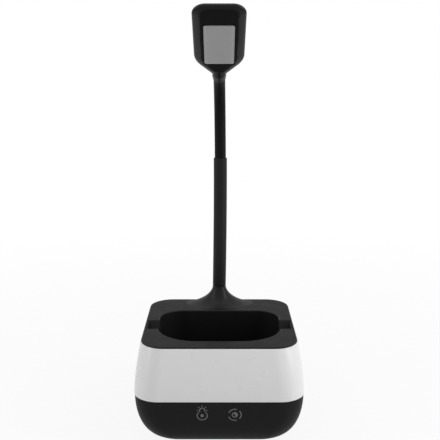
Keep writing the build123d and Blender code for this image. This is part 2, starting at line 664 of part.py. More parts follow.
# ---- head planes: face planes look out of the light side, with Y towards the tip
head_end = neck_plane(NECK_LENGTH)
head_axis = head_end.z_dir
face_normal = Vector(0, -sin(radians(HEAD_RISE)), -cos(radians(HEAD_RISE)))
face = Plane(origin=head_end.origin, x_dir=(1, 0, 0), z_dir=face_normal)
fitting_start = joint_points[-1]
fitting_plane = aim(fitting_start, head_end.origin)
fitting_reach = (head_end.origin - fitting_start).length
flange_start = FITTING_IN_HEAD - 3 * FITTING_FLANGE


def head_outline(side, tip, tail):
    """Face-on outline of the head, drawn in by separate amounts at its sides, tip and tail."""
    half = HEAD_HALF - side
    slope = (HEAD_HALF - HEAD_THROAT_HALF) / (HEAD_SHOULDER_S - HEAD_THROAT_S)
    shoulder = HEAD_SHOULDER_S + tail - side / slope
    throat = HEAD_THROAT_HALF - THROAT_INSET * side
    low = shoulder - (half - throat) / slope
    points = [(throat, low), (half, shoulder), (half, HEAD_LENGTH - tip)]
    points += [(-x, s) for x, s in reversed(points)]
    with BuildLine() as line:
        Polyline(*points, close=True)
        corners = line.vertices().group_by(Axis.Y)
        fillet(corners[2], HEAD_TIP_CORNER - tip)
        fillet(corners[1], HEAD_SHOULDER_R)
    return line


def head_slab(levels):
    """Solid lofted through head outlines, each given as n, side, tip and tail insets."""
    with BuildPart() as slab:
        for n, side, tip, tail in levels:
            with BuildSketch(face.offset(n)):
                add(head_outline(side, tip, tail).line)
                make_face()
        loft()
    return slab.part


def bevel_levels(near_n, far_n, side, tip, tail, inset):
    """Head outlines from one n to another, rounding in by a bevel, all drawn in by a wall."""
    steps = 4
    levels = []
    for i in range(steps + 1):
        angle = pi / 2 * i / steps
        n = near_n + (far_n - near_n) * sin(angle)
        closing = 1 - cos(angle)
        levels.append((n, inset + side * closing, inset + tip * closing, inset + tail * closing))
    return levels


# ---- head shells: a shallow front and back, split at the parting line, and a throat for the neck
front_slab = head_slab(bevel_levels(HEAD_PARTING_N, HEAD_FACE_N, SIDE_BEVEL, TIP_BEVEL, TAIL_BEVEL, 0))
back_slab = head_slab(bevel_levels(HEAD_PARTING_N, HEAD_BACK_N, BACK_BEVEL, BACK_BEVEL, BACK_BEVEL / 2, 0))
parting = face.offset(HEAD_PARTING_N)
throat_line = Axis(head_end.origin, head_axis)

with BuildPart() as throat:
    with BuildSketch(face):
        with BuildLine():
            Polyline(
                (0, 0),
                (THROAT_R, 0),
                (THROAT_R, THROAT_STRAIGHT),
                (THROAT_END_R, THROAT_END_S),
                (0, THROAT_END_S),
                close=True,
            )
        make_face()
    revolve(axis=throat_line)

with BuildPart() as fitting_space:
    with BuildSketch(head_end):
        Circle(UPPER_LINK_R + FITTING_CLEARANCE)
    extrude(amount=FITTING_IN_HEAD + FITTING_CLEARANCE)
    with BuildSketch(head_end.offset(flange_start - FITTING_CLEARANCE)):
        Circle(FITTING_FLANGE_R + FITTING_CLEARANCE)
    extrude(amount=FITTING_FLANGE + 2 * FITTING_CLEARANCE)
    with BuildSketch(head_end.offset(-COLLAR_LENGTH)):
        Circle(UPPER_SLEEVE_R + COLLAR_GAP)
    extrude(amount=COLLAR_LENGTH + SLEEVE_IN_HEAD + FITTING_CLEARANCE)


def face_rectangle(half, low, high, corner):
    """Rounded rectangle on a face plane, between two distances along the head."""
    with BuildSketch() as outline:
        with Locations((0, (low + high) / 2)):
            RectangleRounded(2 * half, high - low, corner)
    return outline.sketch


def screw_sites():
    """The four head screws' places on a face plane."""
    tip_s = HEAD_LENGTH - HEAD_SCREW_TO_TIP
    sites = [(HEAD_SCREW_TIP_X, tip_s), (HEAD_SCREW_TAIL_X, HEAD_SCREW_TAIL_S)]
    return sites + [(-x, s) for x, s in sites]


window = face_rectangle(WINDOW_HALF, WINDOW_LOW_S, WINDOW_HIGH_S, DIFFUSER_CORNER)
light_hole = face_rectangle(
    DIFFUSER_HALF + DIFFUSER_GAP,
    DIFFUSER_LOW_S - DIFFUSER_GAP,
    DIFFUSER_HIGH_S + DIFFUSER_GAP,
    DIFFUSER_CORNER + DIFFUSER_GAP,
)
diffuser_face = face_rectangle(DIFFUSER_HALF, DIFFUSER_LOW_S, DIFFUSER_HIGH_S, DIFFUSER_CORNER)
stack = face_rectangle(
    DIFFUSER_HALF + FLANGE_WIDTH,
    DIFFUSER_LOW_S - FLANGE_WIDTH,
    DIFFUSER_HIGH_S + FLANGE_WIDTH,
    DIFFUSER_CORNER,
)
stack_hole = face_rectangle(
    DIFFUSER_HALF + FLANGE_WIDTH - FRAME_WALL,
    DIFFUSER_LOW_S - FLANGE_WIDTH + FRAME_WALL,
    DIFFUSER_HIGH_S + FLANGE_WIDTH - FRAME_WALL,
    DIFFUSER_CORNER,
)
cavity = face_rectangle(CAVITY_HALF, CAVITY_LOW_S, CAVITY_HIGH_S, CAVITY_CORNER)
plate_under_n = HEAD_FACE_N - HEAD_WALL
cavity_floor_n = HEAD_BACK_N + HEAD_WALL

with BuildPart() as head_front_cover:
    add(front_slab)
    add(throat.part)
    split(bisect_by=parting, keep=Keep.TOP)
    with BuildSketch(parting):
        add(cavity)
    extrude(amount=plate_under_n - HEAD_PARTING_N, mode=Mode.SUBTRACT)
    with BuildSketch(parting):
        add(light_hole)
    extrude(amount=2 * HEAD_FACE_N, mode=Mode.SUBTRACT)
    with BuildSketch(face.offset(HEAD_FACE_N - WINDOW_STEP)):
        add(window)
    extrude(amount=HEAD_FACE_N, mode=Mode.SUBTRACT)
    with BuildSketch(parting):
        with Locations(*screw_sites()):
            Circle(HEAD_SCREW_R + SCREW_CLEARANCE)
    extrude(amount=HEAD_SCREW_BITE + SCREW_CLEARANCE, mode=Mode.SUBTRACT)
    add(fitting_space.part, mode=Mode.SUBTRACT)
head_front_cover.part.label = "head_front_cover"

with BuildPart() as head_back_cover:
    add(back_slab)
    add(throat.part)
    split(bisect_by=parting, keep=Keep.BOTTOM)
    with BuildSketch(parting):
        add(cavity)
    extrude(amount=cavity_floor_n - HEAD_PARTING_N, mode=Mode.SUBTRACT)
    with BuildSketch(face.offset(HEAD_BACK_N - HEAD_SCREW_HEAD)):
        with Locations(*screw_sites()):
            Circle(HEAD_SCREW_HEAD_R + FITTING_CLEARANCE)
    extrude(amount=2 * HEAD_SCREW_HEAD, mode=Mode.SUBTRACT)
    with BuildSketch(face.offset(HEAD_BACK_N)):
        with Locations(*screw_sites()):
            Circle(HEAD_SCREW_R + SCREW_CLEARANCE)
    extrude(amount=HEAD_FACE_N - HEAD_BACK_N, mode=Mode.SUBTRACT)
    add(fitting_space.part, mode=Mode.SUBTRACT)
head_back_cover.part.label = "head_back_cover"

with BuildPart() as head_screws:
    with BuildSketch(face.offset(HEAD_BACK_N)):
        with Locations(*screw_sites()):
            Circle(HEAD_SCREW_HEAD_R)
    extrude(amount=HEAD_SCREW_HEAD)
    with BuildSketch(face.offset(HEAD_BACK_N)):
        with Locations(*screw_sites()):
            Circle(HEAD_SCREW_R)
    extrude(amount=HEAD_PARTING_N + HEAD_SCREW_BITE - HEAD_BACK_N)
head_screws.part.label = "head_screws"

# ---- metal end of the gooseneck, clamped between the head shells
with BuildPart() as head_fitting:
    with Locations(fitting_plane):
        Sphere(BALL_R)
    with BuildSketch(fitting_plane):
        Circle(BALL_SHANK_R)
    extrude(amount=fitting_reach)
    with BuildSketch(fitting_plane.offset(BARREL_START)):
        Circle(UPPER_LINK_R)
    extrude(amount=fitting_reach - BARREL_START)
    with BuildSketch(head_end):
        Circle(UPPER_LINK_R)
    extrude(amount=FITTING_IN_HEAD)
    with BuildSketch(head_end.offset(flange_start)):
        Circle(FITTING_FLANGE_R)
    extrude(amount=FITTING_FLANGE)
    with BuildSketch(fitting_plane):
        Circle(WIRE_BORE_R)
    extrude(amount=fitting_reach, both=True, mode=Mode.SUBTRACT)
    with BuildSketch(head_end):
        Circle(WIRE_BORE_R)
    extrude(amount=FITTING_IN_HEAD, mode=Mode.SUBTRACT)
head_fitting.part.label = "head_fitting"

# ---- tapered ring where the sleeve enters the head
with BuildPart() as neck_collar:
    with BuildSketch(face):
        with BuildLine():
            inner_r = UPPER_SLEEVE_R + COLLAR_GAP
            Polyline(
                (inner_r, 0),
                (inner_r + COLLAR_WALL, 0),
                (inner_r + COLLAR_TIP_WALL, -COLLAR_LENGTH),
                (inner_r, -COLLAR_LENGTH),
                close=True,
            )
        make_face()
    revolve(axis=throat_line)
neck_collar.part.label = "neck_collar"

# ---- light: board, LEDs, white frame and diffuser, stacked behind the window
flange_under_n = plate_under_n - FLANGE_THICKNESS

with BuildPart() as led_board:
    with BuildSketch(face.offset(cavity_floor_n)):
        add(stack)
    extrude(amount=LED_BOARD_THICKNESS)
led_board.part.label = "led_board"

with BuildPart() as leds:
    with BuildSketch(face.offset(cavity_floor_n + LED_BOARD_THICKNESS)):
        with Locations((0, (DIFFUSER_LOW_S + DIFFUSER_HIGH_S) / 2)):
            with GridLocations(2 * LED_COLUMN_HALF, LED_PITCH, 2, LED_ROWS):
                Rectangle(LED_WIDTH, LED_LENGTH)
    extrude(amount=LED_HEIGHT)
leds.part.label = "leds"

with BuildPart() as reflector_frame:
    with BuildSketch(face.offset(cavity_floor_n + LED_BOARD_THICKNESS)):
        add(stack)
        add(stack_hole, mode=Mode.SUBTRACT)
    extrude(amount=flange_under_n - cavity_floor_n - LED_BOARD_THICKNESS)
reflector_frame.part.label = "reflector_frame"

with BuildPart() as diffuser:
    with BuildSketch(face.offset(flange_under_n)):
        add(stack)
    extrude(amount=FLANGE_THICKNESS)
    with BuildSketch(face.offset(flange_under_n)):
        add(diffuser_face)
    extrude(amount=DIFFUSER_FACE_N - flange_under_n)
diffuser.part.label = "diffuser"

# ---- screws that clamp tray, band and lower shell together
with BuildPart() as case_screws:
    with BuildSketch(Plane.XY.offset(CASE_SCREW_SEAT_Z)):
        with GridLocations(2 * SCREW_X, 2 * SCREW_Y, 2, 2):
            Circle(CASE_SCREW_HEAD_R)
    extrude(amount=-CASE_SCREW_HEAD)
    with BuildSketch(Plane.XY.offset(CASE_SCREW_SEAT_Z)):
        with GridLocations(2 * SCREW_X, 2 * SCREW_Y, 2, 2):
            Circle(CASE_SCREW_R)
    extrude(amount=CASE_SCREW_TOP_Z - CASE_SCREW_SEAT_Z)
case_screws.part.label = "case_screws"

# ---- steel ballast on the floor of the lower shell
with BuildPart() as steel_ballast:
    with BuildSketch(Plane.XY.offset(SHELL_INNER_Z)):
        RectangleRounded(2 * BALLAST_HALF, 2 * BALLAST_HALF, BALLAST_CORNER)
        with GridLocations(2 * SCREW_X, 2 * SCREW_Y, 2, 2):
            Circle(COLUMN_R + HEAD_CLEARANCE, mode=Mode.SUBTRACT)
    extrude(amount=BALLAST_THICKNESS)
steel_ballast.part.label = "steel_ballast"

# ---- battery cell lying in its cradle on the ballast
cell_z = BALLAST_TOP_Z + CRADLE_FLOOR + CELL_CLEARANCE + CELL_R
cell_line = Plane(origin=(-CELL_LENGTH / 2, 0, cell_z), x_dir=(0, 1, 0), z_dir=(1, 0, 0))

with BuildPart() as battery_cell:
    with BuildSketch(cell_line):
        Circle(CELL_R)
    extrude(amount=CELL_LENGTH - CELL_CAP)
    with BuildSketch(cell_line):
        Circle(CELL_CAP_R)
    extrude(amount=CELL_LENGTH)
battery_cell.part.label = "battery_cell"

with BuildPart() as battery_cradle:
    with BuildSketch(Plane.XY.offset(BALLAST_TOP_Z)):
        Rectangle(2 * CRADLE_HALF_LENGTH, 2 * CRADLE_HALF_WIDTH)
    extrude(amount=CRADLE_HEIGHT)
    with BuildSketch(cell_line.offset(-CELL_CLEARANCE)):
        Circle(CELL_R + CELL_CLEARANCE)
    extrude(amount=CELL_LENGTH + 2 * CELL_CLEARANCE, mode=Mode.SUBTRACT)
battery_cradle.part.label = "battery_cradle"

# ---- charging board on its posts, with the inlet at the back
with BuildPart() as charging_board:
    with BuildSketch(Plane.XY.offset(BOARD_Z)):
        with Locations((0, (BOARD_FRONT_Y + BOARD_BACK_Y) / 2)):
            Rectangle(2 * BOARD_HALF_WIDTH, BOARD_BACK_Y - BOARD_FRONT_Y)
        with Locations((-BOARD_SCREW_X, BOARD_SCREW_Y), (BOARD_SCREW_X, BOARD_SCREW_Y)):
            Circle(BOARD_SCREW_R + SCREW_CLEARANCE, mode=Mode.SUBTRACT)
    extrude(amount=BOARD_THICKNESS)
charging_board.part.label = "charging_board"

with BuildPart() as board_screws:
    board_top = Plane.XY.offset(BOARD_Z + BOARD_THICKNESS)
    with BuildSketch(board_top):
        with Locations((-BOARD_SCREW_X, BOARD_SCREW_Y), (BOARD_SCREW_X, BOARD_SCREW_Y)):
            Circle(BOARD_SCREW_HEAD_R)
    extrude(amount=BOARD_SCREW_HEAD)
    with BuildSketch(board_top):
        with Locations((-BOARD_SCREW_X, BOARD_SCREW_Y), (BOARD_SCREW_X, BOARD_SCREW_Y)):
            Circle(BOARD_SCREW_R)
    extrude(amount=-BOARD_SCREW_BITE - BOARD_THICKNESS)
board_screws.part.label = "board_screws"

with BuildPart() as usb_socket:
    mouth = Plane(origin=(0, USB_MOUTH_Y, USB_Z), x_dir=(1, 0, 0), z_dir=(0, 1, 0))
    with BuildSketch(mouth):
        SlotOverall(USB_WIDTH, USB_HEIGHT)
    extrude(amount=-USB_LENGTH)
    with BuildSketch(mouth):
        SlotOverall(USB_WIDTH - 2 * USB_WALL, USB_HEIGHT - 2 * USB_WALL)
    extrude(amount=-USB_DEPTH, mode=Mode.SUBTRACT)
    with BuildSketch(mouth.offset(-USB_DEPTH)):
        Rectangle(USB_TONGUE_WIDTH, USB_TONGUE)
    extrude(amount=USB_TONGUE_LENGTH)
usb_socket.part.label = "usb_socket"

# ---- touch board in its rails, with a sensing pad behind each printed icon
with BuildPart() as touch_board:
    with BuildSketch(Plane.XY.offset(TOUCH_Z - TOUCH_BOARD_HEIGHT / 2)):
        with Locations((0, TOUCH_BOARD_Y + TOUCH_BOARD_THICKNESS / 2)):
            Rectangle(2 * TOUCH_BOARD_HALF, TOUCH_BOARD_THICKNESS)
    extrude(amount=TOUCH_BOARD_HEIGHT)
touch_board.part.label = "touch_board"

with BuildPart() as touch_pads:
    pad_plane = Plane(origin=(0, TOUCH_BOARD_Y, TOUCH_Z), x_dir=(1, 0, 0), z_dir=(0, -1, 0))
    with BuildSketch(pad_plane):
        with Locations(*[(x, 0) for x in TOUCH_X]):
            Circle(TOUCH_PAD_R)
    extrude(amount=TOUCH_PAD_THICKNESS)
touch_pads.part.label = "touch_pads"

# ---- write every piece
PIECES = [
    lower_shell, rubber_feet, white_band, top_tray, case_screws, steel_ballast,
    battery_cell, battery_cradle, charging_board, board_screws, usb_socket, touch_board, touch_pads,
    neck_stub, neck_washer, neck_nut, lower_sleeve, upper_sleeve, neck_collar,
    head_fitting, head_front_cover, head_back_cover, head_screws,
    led_board, leds, reflector_frame, diffuser,
]  # fmt: skip

os.makedirs("parts", exist_ok=True)
for piece in PIECES + core_links:
    export_step(piece.part, f"parts/{piece.part.label}.step")
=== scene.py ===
"""Looks of the gooseneck desk lamp: sleeves, head, printed icons, materials, floor, light and camera."""
from math import cos, pi, radians, sin, tau

import bmesh
import bpy
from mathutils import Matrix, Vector


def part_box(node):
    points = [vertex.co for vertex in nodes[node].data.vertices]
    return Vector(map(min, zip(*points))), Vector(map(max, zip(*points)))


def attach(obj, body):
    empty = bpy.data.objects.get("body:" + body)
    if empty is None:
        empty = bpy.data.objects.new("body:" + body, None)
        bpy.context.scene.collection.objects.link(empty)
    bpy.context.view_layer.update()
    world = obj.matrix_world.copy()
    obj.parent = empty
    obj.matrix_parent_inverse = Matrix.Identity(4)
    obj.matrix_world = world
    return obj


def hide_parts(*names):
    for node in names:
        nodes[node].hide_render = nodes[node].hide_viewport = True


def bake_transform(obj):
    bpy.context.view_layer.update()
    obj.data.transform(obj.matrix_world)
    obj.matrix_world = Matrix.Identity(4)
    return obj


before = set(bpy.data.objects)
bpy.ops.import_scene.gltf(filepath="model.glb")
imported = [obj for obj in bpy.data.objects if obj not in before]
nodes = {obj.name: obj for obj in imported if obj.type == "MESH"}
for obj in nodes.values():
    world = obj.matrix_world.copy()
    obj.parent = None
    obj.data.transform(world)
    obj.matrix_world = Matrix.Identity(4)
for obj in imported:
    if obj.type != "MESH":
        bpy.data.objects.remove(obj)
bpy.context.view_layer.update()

MM = 0.001

# ---- camera, fitted to the photograph's frame
FRAME_PIXELS = 440
SENSOR = 36.0
FOCAL_PIXELS = 767.76
CAMERA_PLACE = Vector((0.6, -587.5, 282.15)) * MM
CAMERA_PITCH = 0.20138  # below the horizon, in radians


def make_camera():
    """Camera at the photograph's viewing angle."""
    data = bpy.data.cameras.new("camera")
    data.sensor_width = SENSOR
    data.lens = FOCAL_PIXELS / FRAME_PIXELS * SENSOR
    camera = bpy.data.objects.new("camera", data)
    camera.location = CAMERA_PLACE
    camera.rotation_euler = (pi / 2 - CAMERA_PITCH, 0, 0)
    bpy.context.scene.collection.objects.link(camera)
    bpy.context.scene.camera = camera


# ---- neck path, the same as in the CAD: height and depth in millimetres, and lean in radians
NECK_FOOT_Y = 50.8
NECK_FOOT_Z = 95.1
LEAN_RADIUS = 413.8
LEAN_TURN = radians(7.56)
UPRIGHT_RUN = 24.4
HOOK_RADIUS = 51.6
HEAD_RISE = radians(31.0)
LEAN_RUN = LEAN_RADIUS * LEAN_TURN
HOOK_RUN = HOOK_RADIUS * (pi / 2 - HEAD_RISE)
NECK_LENGTH = 2 * LEAN_RUN + UPRIGHT_RUN + HOOK_RUN
BENDS = (
    (LEAN_RUN, LEAN_TURN),
    (LEAN_RUN, -LEAN_TURN),
    (UPRIGHT_RUN, 0.0),
    (HOOK_RUN, HEAD_RISE - pi / 2),
)
HEAD_ACROSS = (1.0, 0.0, 0.0)
HEAD_ALONG = (0.0, -cos(HEAD_RISE), sin(HEAD_RISE))
SWAY = 0.9  # how far the sleeves bow to the right between foot and head


def neck_point(distance):
    """Centre of the neck and its lean, at a distance along it."""
    y, z, lean = NECK_FOOT_Y, NECK_FOOT_Z, 0.0
    left = distance
    for length, turn in BENDS:
        run = min(left, length)
        ahead = lean + turn * run / length
        if turn:
            radius = length / turn
            y += radius * (cos(lean) - cos(ahead))
            z += radius * (sin(ahead) - sin(lean))
        else:
            z += run * cos(lean)
            y += run * sin(lean)
        lean = ahead
        left -= run
    return y + left * sin(lean), z + left * cos(lean), lean


def neck_centre(distance):
    """Centre of the neck as a vector in metres, without the sway."""
    y, z, _ = neck_point(distance)
    return Vector((0, y, z)) * MM


# ---- diffuser, for its material
DIFFUSER_HALF = 11.2 * MM
PAINTED_LINE_INSET = 1.6 * MM  # how far inside the diffuser's edge the paler line is painted, as painted light for the frame behind showing through
PAINTED_LINE_FADE = (0.2 * MM, 0.7 * MM)  # where that line starts to fade, and where it has gone


def diffuser_ends():
    """Where the diffuser starts and ends along the head's direction."""
    low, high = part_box("diffuser")
    along = Vector(HEAD_ALONG)
    corners = [Vector((0, y, z)).dot(along) for y, z in ((high[1], low[2]), (low[1], high[2]))]
    return min(corners), max(corners)


# ---- materials
CLOUD_SCALE = 35.0  # waves per metre of the uneven tone of plastic
RUBBED_SCALE = 90.0  # waves per metre of its rubbed patches
SCUFF = 0.04  # how far their roughness strays from the rest
COVER_LEVELS = (166, 170)  # grey levels of the diffuser
PAINTED_LINE_LEVEL = 176  # and of the painted light line on it
COVER_GLOSS = 0.3
TARNISH = 0.86  # how dark tarnished metal is beside clean metal
TRACK_SPACING = 120.0  # waves per metre along the tracks of a board
DECK_HEIGHT = 79.5 * MM
FLARE_SMOOTHING = 0.18  # how much smoother the flare is than the rims


def new_material(name):
    """Empty node material and its shader node."""
    material = bpy.data.materials.new(name)
    material.use_nodes = True
    return material, material.node_tree.nodes["Principled BSDF"]


def add_node(material, kind, **values):
    """Node of a kind, with values set on its named sockets."""
    node = material.node_tree.nodes.new(kind)
    for socket, value in values.items():
        node.inputs[socket.replace("_", " ")].default_value = value
    return node


def link(material, start, end):
    """Join two sockets."""
    material.node_tree.links.new(start, end)


def place(material):
    """Object coordinates, so that patterns stay on the piece."""
    return material.node_tree.nodes.new("ShaderNodeTexCoord").outputs["Object"]


def noise(material, scale, detail=3.0, roughness=0.5):
    """Noise pattern at a scale in waves per metre."""
    node = add_node(material, "ShaderNodeTexNoise", Scale=scale, Detail=detail, Roughness=roughness)
    link(material, place(material), node.inputs["Vector"])
    return node.outputs["Fac"]


def remap(material, value, low, high, start=0.35, end=0.65):
    """Stretch a pattern's middle range between two numbers."""
    node = material.node_tree.nodes.new("ShaderNodeMapRange")
    link(material, value, node.inputs["Value"])
    for socket, number in (("From Min", start), ("From Max", end), ("To Min", low), ("To Max", high)):
        node.inputs[socket].default_value = number
    return node.outputs["Result"]


def tint(material, value, first, second):
    """Colour between two colours, chosen by a pattern."""
    node = material.node_tree.nodes.new("ShaderNodeMix")
    node.data_type = "RGBA"
    link(material, value, node.inputs["Factor"])
    node.inputs["A"].default_value = (*first, 1)
    node.inputs["B"].default_value = (*second, 1)
    return node.outputs["Result"]


def bump(material, value, depth, shader):
    """Bump of a depth in metres."""
    node = add_node(material, "ShaderNodeBump", Strength=1.0, Distance=depth)
    link(material, value, node.inputs["Height"])
    link(material, node.outputs["Normal"], shader.inputs["Normal"])


def grey(level):
    """Linear colour that shows as an sRGB grey level out of 255."""
    share = level / 255
    value = share / 12.92 if share < 0.04045 else ((share + 0.055) / 1.055) ** 2.4
    return (value, value, value)


def moulded_plastic(name, level, rough, grain, depth, gloss, spread=2):
    """Moulded plastic: fine eroded grain, uneven tone, and faint rubbed patches in its gloss.

    Its colour is an sRGB grey level that wanders by a spread; the grain is in waves per metre.
    """
    material, shader = new_material(name)
    cloud = noise(material, CLOUD_SCALE, detail=4.0)
    fine = noise(material, grain, detail=2.0, roughness=0.6)
    rubbed = noise(material, RUBBED_SCALE, detail=6.0, roughness=0.7)
    tone = tint(material, cloud, grey(level - spread), grey(level + spread))
    link(material, tone, shader.inputs["Base Color"])
    link(material, remap(material, rubbed, rough - SCUFF, rough + SCUFF), shader.inputs["Roughness"])
    shader.inputs["Specular IOR Level"].default_value = gloss
    bump(material, fine, depth, shader)
    return material


def distance_along(material, direction):
    """How far a point lies along a direction, in metres."""
    turn = material.node_tree.nodes.new("ShaderNodeVectorMath")
    turn.operation = "DOT_PRODUCT"
    link(material, place(material), turn.inputs[0])
    turn.inputs[1].default_value = direction
    return turn.outputs["Value"]


def math_node(material, operation, *values):
    """Arithmetic on sockets or plain numbers."""
    node = material.node_tree.nodes.new("ShaderNodeMath")
    node.operation = operation
    for socket, value in zip(node.inputs, values):
        if isinstance(value, (int, float)):
            socket.default_value = value
        else:
            link(material, value, socket)
    return node.outputs["Value"]


def milky_cover():
    """Milky diffuser, with a faint paler line painted near its edge: painted light standing in for the
    frame behind showing through the cover.
    """
    material, shader = new_material("diffuser_white")
    low_end, high_end = diffuser_ends()
    middle = (low_end + high_end) / 2
    reach = (high_end - low_end) / 2
    across = math_node(material, "ABSOLUTE", distance_along(material, HEAD_ACROSS))
    along = math_node(material, "SUBTRACT", distance_along(material, HEAD_ALONG), middle)
    from_side = math_node(material, "SUBTRACT", across, DIFFUSER_HALF)
    from_end = math_node(material, "SUBTRACT", math_node(material, "ABSOLUTE", along), reach)
    inside = math_node(material, "MAXIMUM", from_side, from_end)
    # painted light: a paler line inset from the edge, where the frame behind would show through the cover
    off_line = math_node(material, "ABSOLUTE", math_node(material, "ADD", inside, PAINTED_LINE_INSET))
    painted_line = remap(material, off_line, 1.0, 0.0, *PAINTED_LINE_FADE)
    cloud = noise(material, 60.0)
    plain = tint(material, cloud, *(grey(level) for level in COVER_LEVELS))
    with_painted_line = material.node_tree.nodes.new("ShaderNodeMix")
    with_painted_line.data_type = "RGBA"
    link(material, painted_line, with_painted_line.inputs["Factor"])
    link(material, plain, with_painted_line.inputs["A"])
    with_painted_line.inputs["B"].default_value = (*grey(PAINTED_LINE_LEVEL), 1)
    link(material, with_painted_line.outputs["Result"], shader.inputs["Base Color"])
    fine = noise(material, 1500.0)
    link(material, remap(material, fine, 0.3, 0.38), shader.inputs["Roughness"])
    shader.inputs["Specular IOR Level"].default_value = COVER_GLOSS
    bump(material, fine, 0.01 * MM, shader)
    return material


def stretched_noise(material, scales, detail=3.0):
    """Noise drawn out along an axis, for brushing and printed tracks."""
    mapping = add_node(material, "ShaderNodeMapping", Scale=scales)
    link(material, place(material), mapping.inputs["Vector"])
    node = add_node(material, "ShaderNodeTexNoise", Scale=1.0, Detail=detail)
    link(material, mapping.outputs["Vector"], node.inputs["Vector"])
    return node.outputs["Fac"]


def metal(name, colour, rough, brushing):
    """Plated metal with fine turning marks round its axis and slight tarnish."""
    material, shader = new_material(name)
    shader.inputs["Metallic"].default_value = 1.0
    marks = stretched_noise(material, brushing)
    tarnish = noise(material, 300.0, detail=5.0)
    darker = tuple(TARNISH * part for part in colour)
    link(material, tint(material, tarnish, darker, colour), shader.inputs["Base Color"])
    link(material, remap(material, marks, rough - 0.07, rough + 0.1), shader.inputs["Roughness"])
    bump(material, marks, 0.01 * MM, shader)
    return material


def printed_board(name, mask, track, tracks):
    """Circuit board: solder mask over raised copper tracks that run square to each other."""
    material, shader = new_material(name)
    lines = stretched_noise(material, (tracks, TRACK_SPACING, TRACK_SPACING), detail=1.0)
    crossing = stretched_noise(material, (TRACK_SPACING, TRACK_SPACING, tracks), detail=1.0)
    both = math_node(material, "MAXIMUM", lines, crossing)
    edge = remap(material, both, 0.0, 1.0, 0.58, 0.6)
    link(material, tint(material, edge, mask, track), shader.inputs["Base Color"])
    link(material, remap(material, noise(material, 900.0), 0.28, 0.4), shader.inputs["Roughness"])
    bump(material, edge, 0.03 * MM, shader)
    return material


def wrapped_film(name, colour, seam):
    """Heat-shrunk film round the battery, with shallow wrinkles round its ends."""
    material, shader = new_material(name)
    wrinkles = stretched_noise(material, (60.0, 700.0, 700.0))
    link(material, tint(material, noise(material, 80.0), colour, seam), shader.inputs["Base Color"])
    link(material, remap(material, wrinkles, 0.2, 0.32), shader.inputs["Roughness"])
    bump(material, wrinkles, 0.04 * MM, shader)
    return material


def phosphor():
    """Yellow LED gel, granular and slightly glossy."""
    material, shader = new_material("led_yellow")
    grains = noise(material, 6000.0, detail=2.0)
    gel = tint(material, grains, (0.82, 0.62, 0.12), (0.9, 0.78, 0.3))
    link(material, gel, shader.inputs["Base Color"])
    link(material, remap(material, grains, 0.22, 0.35), shader.inputs["Roughness"])
    bump(material, grains, 0.02 * MM, shader)
    return material


def flare_plastic():
    """Plastic of the tray's rims and flare, which gets smoother up the flare from the matt deck."""
    material = moulded_plastic(
        "black_flare", level=24, rough=0.5, grain=2600.0, depth=0.01 * MM, gloss=0.15
    )
    shader = material.node_tree.nodes["Principled BSDF"]
    rubbed = shader.inputs["Roughness"].links[0].from_socket
    height = distance_along(material, (0.0, 0.0, 1.0))
    off_deck = math_node(material, "ABSOLUTE", math_node(material, "SUBTRACT", height, DECK_HEIGHT))
    smoother = remap(material, off_deck, 0.0, FLARE_SMOOTHING, 0.2 * MM, 5.0 * MM)
    link(material, math_node(material, "SUBTRACT", rubbed, smoother), shader.inputs["Roughness"])
    return material


def make_materials():
    """One material for each finish."""
    return {
        "shell": moulded_plastic(
            "black_shell", level=36, rough=0.46, grain=2600.0, depth=0.02 * MM, gloss=0.04
        ),
        "deck": moulded_plastic(
            "black_deck", level=26, rough=0.5, grain=2600.0, depth=0.03 * MM, gloss=0.05
        ),
        "flare": flare_plastic(),
        # The well and groove's plastic is a darker grey than the deck's: painted shade in the recesses.
        "recess": moulded_plastic(
            "black_recess_painted_shade", level=22, rough=0.5, grain=1800.0, depth=0.03 * MM, gloss=0.1
        ),
        "band": moulded_plastic(
            "white_gloss", level=236, rough=0.3, grain=700.0, depth=0.005 * MM, gloss=0.35, spread=1
        ),
        "lower_silicone": moulded_plastic(
            "silicone", level=30, rough=0.5, grain=3200.0, depth=0.02 * MM, gloss=0.12
        ),
        # The upper sleeve is a darker grey than the lower one: painted shade on the upper neck, which
        # faces downwards.
        "upper_silicone_painted_shade": moulded_plastic(
            "thin_silicone_painted_shade", level=15, rough=0.48, grain=3200.0, depth=0.02 * MM, gloss=0.08
        ),
        "head": moulded_plastic(
            "black_head", level=17, rough=0.28, grain=2600.0, depth=0.005 * MM, gloss=0.15
        ),
        "head_panel": moulded_plastic(
            "black_panel", level=18, rough=0.4, grain=2600.0, depth=0.01 * MM, gloss=0.03
        ),
        "diffuser": milky_cover(),
        "print": moulded_plastic(
            "icon_print", level=112, rough=0.6, grain=5000.0, depth=0.008 * MM, gloss=0.2
        ),
        "steel": metal("steel", (0.36, 0.36, 0.37), 0.34, (900.0, 900.0, 60.0)),
        "copper": metal("copper", (0.72, 0.42, 0.2), 0.28, (400.0, 400.0, 400.0)),
        "rubber": moulded_plastic(
            "foot_rubber", level=58, rough=0.78, grain=2500.0, depth=0.06 * MM, gloss=0.3
        ),
        "green_board": printed_board("circuit_board", (0.02, 0.13, 0.05), (0.05, 0.26, 0.1), 900.0),
        "white_board": printed_board("white_board", (0.76, 0.76, 0.73), (0.84, 0.84, 0.82), 700.0),
        "film": wrapped_film("cell_wrap", (0.07, 0.16, 0.42), (0.09, 0.2, 0.48)),
        "inner": moulded_plastic(
            "inner_black", level=44, rough=0.5, grain=1500.0, depth=0.04 * MM, gloss=0.3
        ),
        "led": phosphor(),
    }


